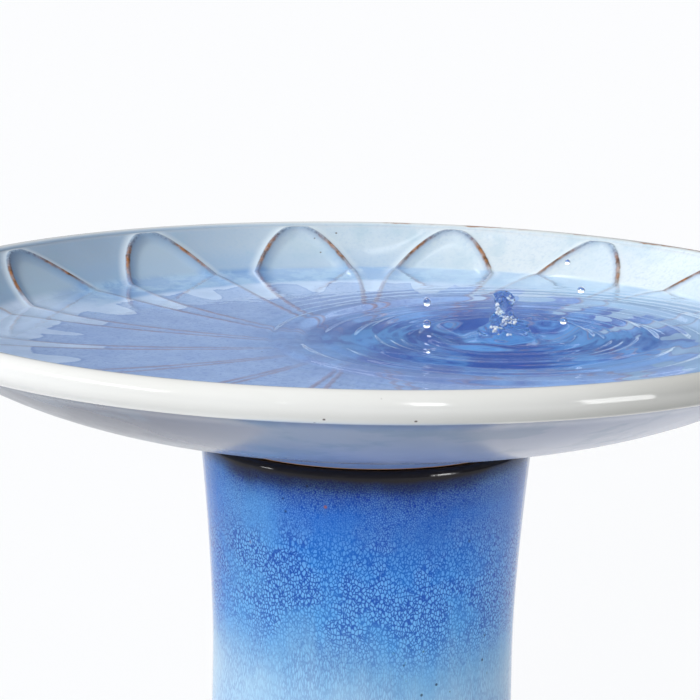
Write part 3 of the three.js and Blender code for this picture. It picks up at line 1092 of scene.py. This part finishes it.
def reflector(name, towards, wide, tall, power):
    """A soft box seen only in reflections; wide and tall are in degrees."""
    aim = Vector((0, -BASIN_RADIUS * MM, (CREST_Z - LIP_ROUND) * MM))
    data = bpy.data.lights.new(name, "AREA")
    data.shape = "RECTANGLE"
    data.size = 2 * REFLECTOR_DISTANCE * math.tan(math.radians(wide / 2))
    data.size_y = 2 * REFLECTOR_DISTANCE * math.tan(math.radians(tall / 2))
    data.energy = power * math.pi * data.size * data.size_y
    light = add_object(name, data)
    direction = Vector(towards).normalized()
    light.location = aim + REFLECTOR_DISTANCE * direction
    light.rotation_euler = direction.to_track_quat("Z", "Y").to_euler()
    light.visible_diffuse = False
    return light


def receivers(name, *pieces):
    """A collection of the only pieces that a light falls on."""
    group = bpy.data.collections.new(name)
    for piece in pieces:
        group.objects.link(piece)
    return group


def make_lights():
    """Two soft suns, and the soft boxes that show as highlights on the glaze, the water and the drops."""
    sun_light("key", (-0.62, -0.30, 0.72), KEY_STRENGTH, 22)
    sun_light("fill", (-0.30, -0.94, 0.14), FILL_STRENGTH, 30)
    glazed = receivers("glazed", BASIN, PEDESTAL)
    column = receivers("column", PEDESTAL)
    surface = receivers("surface", WATER_BODY)
    drops = receivers("drops", *DROPS)
    # name, towards, width and height in degrees, brightness, what it falls on
    boxes = [
        ("overhead", (-0.12, 0.30, 0.945), 16, 3, 2.8, glazed),
        ("box_left", (-0.80, -0.22, 0.56), 40, 9, 8, glazed),
        ("box_small", (-0.315, -0.89, 0.336), 2, 7, 8, glazed),
        ("strip_front", (0.222, -0.811, 0.545), 8.5, 22, 9, glazed),
        ("strip_right", (0.845, -0.528, 0.12), 17, 26, 9, glazed),
        ("shoulder_left", (-0.95, -0.255, 0.16), 9, 9, 22, column),
        ("shoulder_right", (0.84, -0.52, 0.15), 12, 11, 22, column),
        ("band_back", (0.05, 0.88, 0.47), 44, 3, 0.8, surface),
        ("band_left", (-0.75, 0.5, 0.42), 24, 3, 0.8, surface),
        ("sparkle_1", (-0.6, -0.45, 0.66), 14, 14, 60, drops),
        ("sparkle_2", (0.35, -0.5, 0.8), 14, 14, 60, drops),
        ("sparkle_3", (0.1, 0.9, 0.42), 60, 60, 2.2, drops),
    ]
    for name, towards, wide, tall, power, group in boxes:
        light = reflector(name, towards, wide, tall, power)
        light.visible_transmission = group == drops
        light.light_linking.receiver_collection = group


# The camera, in metres and degrees; it aims a little beside the crest's middle
TARGET = Vector((0, 0, CREST_Z * MM))
AIM_RIGHT = -0.0102
AIM_UP = -0.0331
CAMERA_DISTANCE = 1.199
CAMERA_ELEVATION = 9.893
CAMERA_ROLL = 1.035
# Focal length in sensor widths; the sensor's width in millimetres
FOCAL_FRAMES = 3.174
SENSOR = 36


def make_camera():
    """Stands in front, a little above the lip, with a slight roll."""
    elevation = math.radians(CAMERA_ELEVATION)
    roll = math.radians(CAMERA_ROLL)
    stand = TARGET + CAMERA_DISTANCE * Vector((0, -math.cos(elevation), math.sin(elevation)))
    up = Vector((0, math.sin(elevation), math.cos(elevation)))
    right = Vector((1, 0, 0))
    camera_right = math.cos(roll) * right + math.sin(roll) * up
    camera_up = math.cos(roll) * up - math.sin(roll) * right
    aim = TARGET + AIM_RIGHT * camera_right + AIM_UP * camera_up
    back = (stand - aim).normalized()
    side = camera_up.cross(back).normalized()
    above = back.cross(side)
    data = bpy.data.cameras.new("camera")
    data.sensor_width = SENSOR
    data.lens = FOCAL_FRAMES * SENSOR
    data.clip_end = 200
    camera = add_object("camera", data)
    camera.matrix_world = Matrix((
        (side.x, above.x, back.x, stand.x),
        (side.y, above.y, back.y, stand.y),
        (side.z, above.z, back.z, stand.z),
        (0, 0, 0, 1),
    ))
    bpy.context.scene.camera = camera


make_floor()
make_world()
make_lights()
make_camera()
bpy.context.scene.view_settings.view_transform = "Standard"
